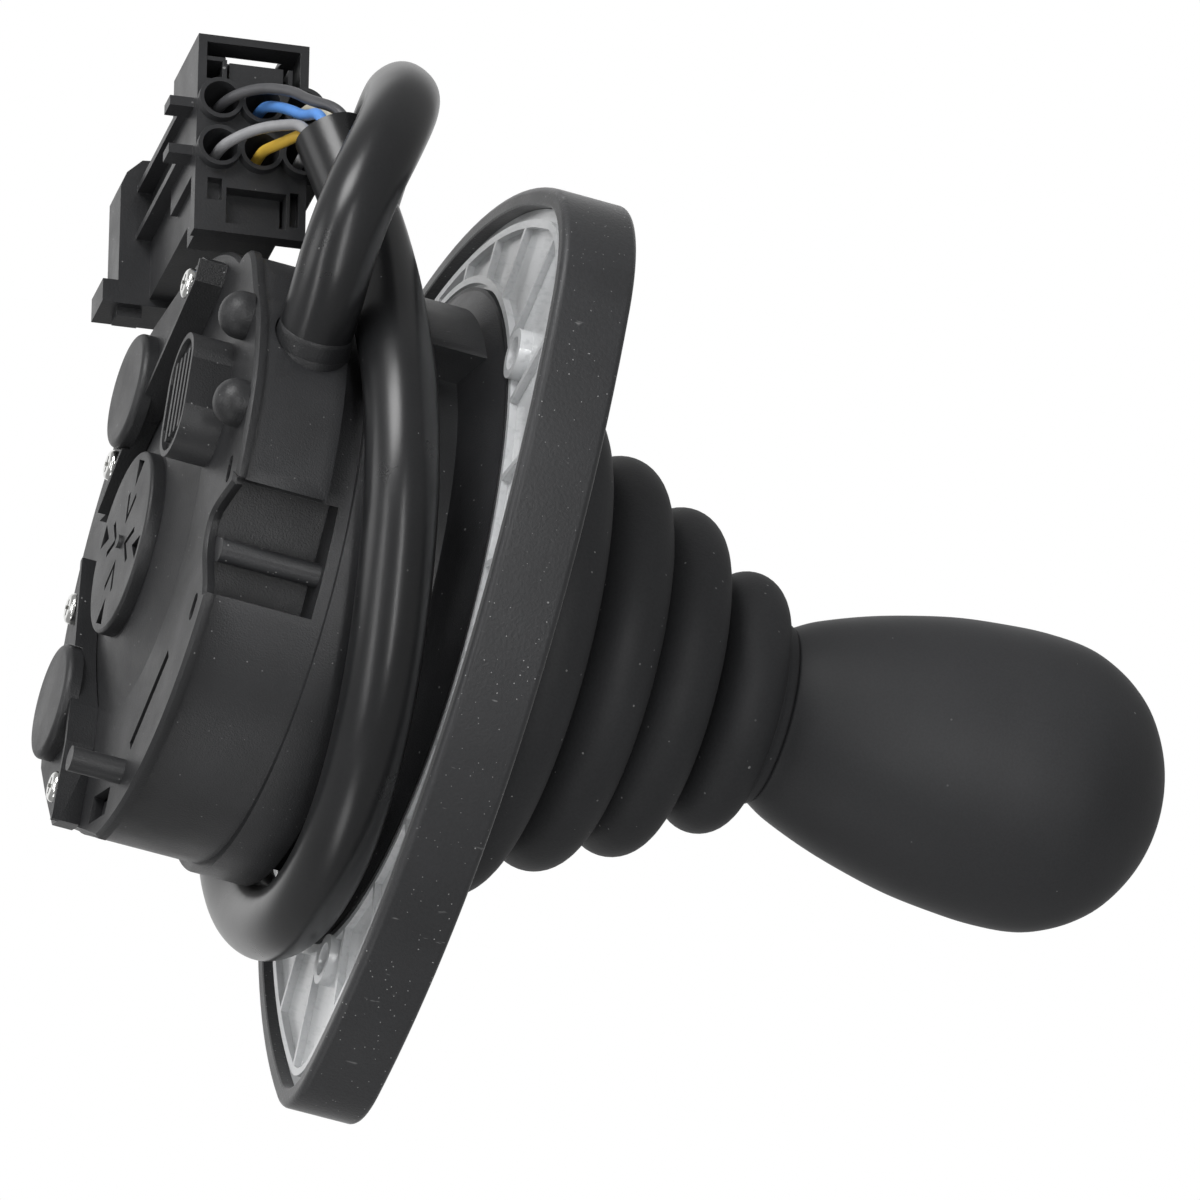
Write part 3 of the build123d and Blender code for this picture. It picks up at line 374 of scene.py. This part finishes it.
def curve_points(points, per=8):
    """Catmull-Rom points through a profile."""
    out = []
    n = len(points)
    for i in range(n - 1):
        p0 = points[max(i - 1, 0)]
        p1, p2 = points[i], points[i + 1]
        p3 = points[min(i + 2, n - 1)]
        for s in range(per):
            t = s / per
            out.append(tuple(
                0.5 * (2 * b + (c - a) * t + (2 * a - 5 * b + 4 * c - d) * t * t + (3 * b - a - 3 * c + d) * t ** 3)
                for a, b, c, d in zip(p0, p1, p2, p3)))
    out.append(points[-1])
    return out


# ------------------------------------------------------------ cords first
def spline_object(name, pts, radius, mat, resolution=10, bevel=8):
    cu = bpy.data.curves.new(name, "CURVE")
    cu.dimensions = "3D"
    sp = cu.splines.new("NURBS")
    sp.points.add(len(pts) - 1)
    for p, q in zip(sp.points, pts):
        p.co = (q[0] * MM, q[1] * MM, q[2] * MM, 1)
    sp.order_u = 3
    sp.use_endpoint_u = True
    cu.resolution_u = resolution
    cu.bevel_depth = radius * MM
    cu.bevel_resolution = bevel
    cu.use_fill_caps = True
    cu.materials.append(mat)
    ob = bpy.data.objects.new(name, cu)
    scene.collection.objects.link(ob)
    return ob


def length_of(pts):
    cu = bpy.data.curves.new("measure", "CURVE")
    cu.dimensions = "3D"
    sp = cu.splines.new("NURBS")
    sp.points.add(len(pts) - 1)
    for p, q in zip(sp.points, pts):
        p.co = (*q, 1)
    sp.order_u = 3
    sp.use_endpoint_u = True
    cu.resolution_u = 16
    ob = bpy.data.objects.new("measure", cu)
    scene.collection.objects.link(ob)
    me = bpy.data.meshes.new_from_object(ob)
    v = [x.co.copy() for x in me.vertices]
    bpy.data.objects.remove(ob)
    return sum((b - a).length for a, b in zip(v, v[1:]))


gland_face = Vector((-31.4, -27.5, -25.3))
gland_dir = Vector((-0.915, -0.40, -0.05)).normalized()
sleeve_route = [
    tuple(gland_face),
    tuple(gland_face + 7.0 * gland_dir),
    (-45.5, -31.8, -25.9),
    (-53.6, -29.4, -24.4),
    (-60.5, -23.5, -21.6),
    (-65.4, -13.5, -18.6),
    (-67.0, 1.0, -16.2),
    (-58.0, 12.6, -14.6),
    (-48.2, 20.8, -13.2),
    (-37.6, 31.6, -12.2),
    (-21.6, 43.4, -11.0),
    (-0.5, 47.6, -9.0),
    (20.2, 42.2, -6.8),
    (35.4, 29.6, -5.7),
    (43.2, 13.6, -5.4),
    (44.6, -4.4, -5.4),
    (40.0, -22.2, -5.5),
    (28.2, -37.4, -6.3),
    (9.8, -46.4, -8.6),
    (-10.5, -46.6, -11.6),
    (-27.4, -38.6, -14.0),
    (-38.4, -24.8, -15.8),
    (-46.2, -14.2, -17.7),
    (-52.9, -7.5, -20.9),
    (-59.3, -2.0, -24.6),
]
SLEEVE_R = 5.0
# the sleeve is a soft tube whose wall has settled into shallow lengthwise flats
section = bpy.data.curves.new("sleeve_section", "CURVE")
section.dimensions = "2D"
ring = section.splines.new("POLY")
COUNT = 60
ring.points.add(COUNT - 1)
for k in range(COUNT):
    a = 2 * math.pi * k / COUNT
    r = SLEEVE_R * (0.988 + 0.009 * math.cos(5 * a + 0.4) + 0.003 * math.cos(3 * a + 1.1))
    ring.points[k].co = (r * MM * math.cos(a), r * MM * math.sin(a), 0, 1)
ring.use_cyclic_u = True
section_ob = bpy.data.objects.new("sleeve_section", section)
scene.collection.objects.link(section_ob)
section_ob.hide_render = True
section_ob.hide_viewport = True
sleeve = spline_object("sleeve", sleeve_route, SLEEVE_R, M["sleeve"], 16, 12)
sleeve.data.bevel_mode = "OBJECT"
sleeve.data.bevel_object = section_ob

wire_routes = {
    "wire_dark_grey": [(-61.46, -3.77, -23.49), (-62.99, -2.45, -24.37), (-63.07, 2.54, -27.6), (-63.87, 7.58, -29.25), (-63.1, 12.25, -33.11), (-59.96, 16.57, -36.44), (-57.13, 22.18, -35.96)],
    "wire_blue": [(-60.34, -4.3, -26.22), (-61.87, -2.99, -27.11), (-60.81, 1.86, -27.69), (-61.31, 6.93, -28.9), (-61.37, 11.56, -30.05), (-60.76, 16.49, -30.8), (-57.93, 22.09, -30.32)],
    "wire_beige": [(-60.42, -1.47, -21.87), (-61.95, -0.15, -22.75), (-61.61, 5.51, -23.71), (-62.66, 11.31, -24.78), (-61.57, 16.4, -25.16), (-58.73, 22.01, -24.67)],
    "wire_grey": [(-58.18, -2.53, -27.33), (-59.71, -1.22, -28.21), (-59.02, 4.29, -29.92), (-57.85, 7.27, -32.24), (-55.78, 10.02, -34.53), (-53.79, 13.38, -35.61), (-50.95, 18.99, -35.13)],
    "wire_yellow": [(-57.14, -0.23, -25.71), (-58.67, 1.08, -26.59), (-58.27, 3.49, -27.61), (-56.61, 7.48, -28.83), (-55.55, 10.62, -29.74), (-54.59, 13.3, -29.97), (-51.76, 18.9, -29.48)],
    "wire_white": [(-58.26, 0.3, -22.98), (-59.79, 1.61, -23.86), (-58.06, 4.3, -25.24), (-56.53, 8.67, -24.86), (-55.39, 13.21, -24.33), (-52.56, 18.82, -23.84)],
}
WIRE_R = 0.75
for name, pts in wire_routes.items():
    w = spline_object(name + "_wire", pts, WIRE_R, M[name], 10, 6)
    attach(w, "base")
    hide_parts(name)
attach(sleeve, "base")
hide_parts("cable_sleeve")
length_of(sleeve_route) * MM

# tapered strain relief where the sleeve leaves the housing
relief = spun("strain_relief", [(4.9, -1.2), (5.2, -1.2), (5.18, 0.2), (5.12, 1.0), (5.04, 1.9), (4.98, 2.5), (4.88, 2.6), (4.88, 1.6)], 64, M["cover"])
relief.data.transform(Vector((0, 0, 1)).rotation_difference(gland_dir).to_matrix().to_4x4())
relief.data.transform(Matrix.Translation(gland_face * MM))
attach(relief, "base")

# ------------------------------------------------------------ bellows boot, in two pieces that meet in the lowest valley
crests = [(34.8, 16.0, 4.9), (28.5, 26.9, 4.9), (24.0, 36.8, 4.8), (18.0, 47.7, 4.6)]
FLANGE = 4.65
WALL = 1.3


def arc(c, z, r, a0, a1, n):
    return [(c + r * math.cos(math.radians(a0 + (a1 - a0) * k / n)), z + r * math.sin(math.radians(a0 + (a1 - a0) * k / n))) for k in range(n + 1)]


def valley(lower, upper, t):
    """Smooth pinched valley between two convolutions."""
    (r1, z1, p1), (r2, z2, p2) = lower, upper
    a = (r1 - p1, z1 + p1)
    b = (r2 - p2, z2 - p2)
    v = (b[0] - 1.1, (a[1] + b[1]) / 2)
    return a, v, b


def outer_profile():
    pts = [(40.9, FLANGE), (40.9, FLANGE + 1.5), (40.5, FLANGE + 1.7), (33.0, FLANGE + 1.7), (31.4, 7.0), (30.2, 8.4), (29.6, 9.8)]
    for i, (r, z, p) in enumerate(crests):
        a0 = (-96, -92, -104, -104)[i]
        pts += arc(r - p, z, p, a0 + 4, 96, 22)
        if i == 0:
            # the lowest valley stays clear of the spring's collar at full tilt
            pts += [(25.2, 20.95), (24.3, 21.3), (23.9, 21.6), (24.0, 21.8)]
        elif i < 3:
            a, v, b = valley(crests[i], crests[i + 1], 0)
            pts += [(v[0] + 0.55, v[1] - 0.45), (v[0] + 0.25, v[1] - 0.12), (v[0] + 0.3, v[1] + 0.25)]
            if i == 2:
                # thin double lip that shows in the last gap
                pts += [(v[0] + 1.0, v[1] + 0.35), (v[0] + 1.05, v[1] + 0.6), (v[0] + 0.4, v[1] + 0.72)]
    r, z, p = crests[-1]
    pts += [(13.2, z + p + 0.12), (12.75, z + p + 0.5), (12.5, z + p + 1.0), (12.4, 53.9), (12.2, 54.2), (11.3, 54.15)]
    return pts


def inner_profile():
    pts = [(8.8, 53.6), (8.8, 51.2), (9.6, 50.9)]
    for i in range(3, -1, -1):
        r, z, p = crests[i]
        pts += arc(r - p, z, p - (WALL if i else 0.9), 90, -90, 14)
        if i == 1:
            pts += [(22.75, 22.3), (22.75, 21.5), (23.4, 21.0), (25.0, 20.4)]
        elif i:
            a, v, b = valley(crests[i - 1], crests[i], 0)
            pts += [(v[0] - WALL + 0.2, v[1] + 0.8), (v[0] - WALL + 0.2, v[1] - 0.6)]
    pts += [(28.6, 10.6), (28.3, 9.0), (28.3, FLANGE)]
    return pts


outer, inner = outer_profile(), inner_profile()
split_z = (crests[0][1] + crests[0][2] + crests[1][1] - crests[1][2]) / 2
SEGS = 144


def cut(points, low):
    """The part of a profile below or above the seam, ended exactly on it."""
    out = []
    for a, b in zip(points, points[1:]):
        keep_a = a[1] <= split_z if low else a[1] >= split_z
        keep_b = b[1] <= split_z if low else b[1] >= split_z
        if keep_a and (not out or out[-1] != a):
            out.append(a)
        if keep_a != keep_b:
            t = (split_z - a[1]) / (b[1] - a[1])
            out.append((a[0] + (b[0] - a[0]) * t, split_z))
    last = points[-1]
    if (last[1] <= split_z) == low and out[-1] != last:
        out.append(last)
    return out


boot_low = spun("boot_lower", cut(outer, True) + cut(inner, True), SEGS, M["boot"])
boot_high = spun("boot_upper", cut(outer, False) + cut(inner, False), SEGS, M["boot"])
for o in (boot_low, boot_high):
    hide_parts("boot")
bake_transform(boot_low)
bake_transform(boot_high)


# ------------------------------------------------------------ centring spring, in two pieces
def coil_piece(name, t0, t1, n):
    z0, z1, r, wire, turns = 6.85, 23.15, 13.0, 0.8, 5.5
    verts, faces = [], []
    ring = 10
    for i in range(n + 1):
        t = t0 + (t1 - t0) * i / n
        a = 2 * math.pi * turns * t
        z = z0 + (z1 - z0) * t
        c = Vector((r * math.cos(a), r * math.sin(a), z))
        tan = Vector((-r * math.sin(a) * 2 * math.pi * turns, r * math.cos(a) * 2 * math.pi * turns, z1 - z0)).normalized()
        out = Vector((math.cos(a), math.sin(a), 0))
        side = tan.cross(out).normalized()
        for k in range(ring):
            b = 2 * math.pi * k / ring
            verts.append(tuple((c + wire * (math.cos(b) * out + math.sin(b) * side)) * MM))
    for i in range(n):
        for k in range(ring):
            j = (k + 1) % ring
            faces.append((i * ring + k, i * ring + j, (i + 1) * ring + j, (i + 1) * ring + k))
    faces.append(tuple(range(ring))[::-1])
    faces.append(tuple(range(n * ring, n * ring + ring)))
    o = new_mesh(name, verts, faces, M["spring"])
    bm = bmesh.new()
    bm.from_mesh(o.data)
    bmesh.ops.recalc_face_normals(bm, faces=bm.faces)
    bm.to_mesh(o.data)
    bm.free()
    return o


coil_low = coil_piece("spring_lower", 0.0, 0.45, 120)
coil_high = coil_piece("spring_upper", 0.45, 1.0, 140)
for o in (coil_low, coil_high):
    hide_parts("centring_spring")
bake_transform(coil_low)
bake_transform(coil_high)

# ------------------------------------------------------------ knob
knob_profile = [
    (11.2, 54.2), (11.95, 54.45), (12.35, 55.1), (13.9, 58.0), (16.15, 64.1), (17.9, 70.4), (19.25, 76.8),
    (20.0, 83.6), (20.25, 88.6), (19.95, 93.7), (18.95, 97.4), (16.9, 101.3),
    (13.9, 104.7), (9.4, 107.6), (4.6, 109.2), (0.0, 109.6),
]
knob = spun("knob", [(7.5, 95.0), (7.5, 54.2)] + curve_points(knob_profile, 6) + [(0.0, 95.0)], 160, M["knob"])
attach(knob, "stick")
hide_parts("grip_knob")

# ------------------------------------------------------------ floor, light, world
fl = bpy.data.meshes.new("floor")
fl.from_pydata([(-90, -90, -2.6), (90, -90, -2.6), (90, 90, -2.6), (-90, 90, -2.6)], [], [(0, 1, 2, 3)])
floor = bpy.data.objects.new("floor", fl)
scene.collection.objects.link(floor)
fm, fnt, fb, fv = material("floor_pale")
fnt.links.new(mix(fnt, noise(fnt, fv, 3, 3), (0.80, 0.80, 0.80), (0.84, 0.84, 0.84)), fb.inputs["Base Color"])
fb.inputs["Roughness"].default_value = 0.9
# the floor carries on the studio's backdrop, so that no horizon shows behind the object
toward = fnt.nodes.new("ShaderNodeVectorMath")
toward.operation = "NORMALIZE"
fnt.links.new(fv, toward.inputs[0])
side_y = fnt.nodes.new("ShaderNodeVectorMath")
side_y.operation = "DOT_PRODUCT"
side_y.inputs[1].default_value = (0.0, 1.0, 0.0)
fnt.links.new(toward.outputs["Vector"], side_y.inputs[0])
glow = fnt.nodes.new("ShaderNodeMapRange")
glow.interpolation_type = "SMOOTHSTEP"
glow.inputs["From Min"].default_value = 0.74
glow.inputs["From Max"].default_value = 0.93
glow.inputs["To Min"].default_value = 0.05
glow.inputs["To Max"].default_value = 0.74
fnt.links.new(side_y.outputs["Value"], glow.inputs["Value"])
fnt.links.new(glow.outputs["Result"], fb.inputs["Emission Strength"])
fb.inputs["Emission Color"].default_value = (1, 1, 1, 1)
fl.materials.append(fm)

world = bpy.data.worlds.new("studio")
scene.world = world
world.use_nodes = True
# even grey studio with a white backdrop on the far side of the object
wt = world.node_tree
bg = wt.nodes["Background"]
wc = wt.nodes.new("ShaderNodeTexCoord")
dotp = wt.nodes.new("ShaderNodeVectorMath")
dotp.operation = "DOT_PRODUCT"
dotp.inputs[1].default_value = (0.0, 1.0, 0.0)
wt.links.new(wc.outputs["Generated"], dotp.inputs[0])
fade = wt.nodes.new("ShaderNodeMapRange")
fade.interpolation_type = "SMOOTHSTEP"
fade.inputs["From Min"].default_value = 0.74
fade.inputs["From Max"].default_value = 0.93
fade.inputs["To Min"].default_value = 0.31
fade.inputs["To Max"].default_value = 1.0
wt.links.new(dotp.outputs["Value"], fade.inputs["Value"])
wt.links.new(fade.outputs["Result"], bg.inputs["Strength"])
bg.inputs["Color"].default_value = (1, 1, 1, 1)
scene.view_settings.view_transform = "Standard"
scene.view_settings.look = "None"
scene.view_settings.exposure = 0.0


def area(name, place, target, size, power, size_y=None):
    li = bpy.data.lights.new(name, "AREA")
    li.energy = power
    li.size = size
    if size_y:
        li.shape = "RECTANGLE"
        li.size_y = size_y
    o = bpy.data.objects.new(name, li)
    scene.collection.objects.link(o)
    o.location = place
    d = Vector(target) - Vector(place)
    o.rotation_euler = d.to_track_quat("-Z", "Y").to_euler()
    return o


def from_camera(r, u, back):
    """A point right, up and back (towards the camera) from the object, in the camera's own directions."""
    c = Vector((-0.005, 0, 0.02))
    return c + r * right + u * up - back * ahead


def strip(name, r, u, back, width, length, power):
    """A tall strip light: its long side runs along the picture's upright."""
    o = area(name, from_camera(r, u, back), (0, 0, 0.02), width, power, length)
    z = (Vector(o.location) - Vector((0, 0, 0.02))).normalized()
    x = up.cross(z).normalized()
    y = z.cross(x)
    o.matrix_world = Matrix((x, y, z)).transposed().to_4x4()
    o.location = from_camera(r, u, back)
    return o


area("key", from_camera(-0.5, 1.1, 0.6), (0, 0, 0.02), 0.6, 11)
area("side", from_camera(-1.15, 0.35, 0.05), (0, 0, 0.0), 0.5, 1.5)
strip("strip_left", -0.92, 0.1, 0.86, 0.08, 1.2, 3.4)
strip("strip_right", 0.22, 0.1, 1.25, 0.07, 1.2, 4.8)
area("low", from_camera(-0.55, -1.0, 0.45), (-0.02, 0, -0.01), 0.35, 1.2)
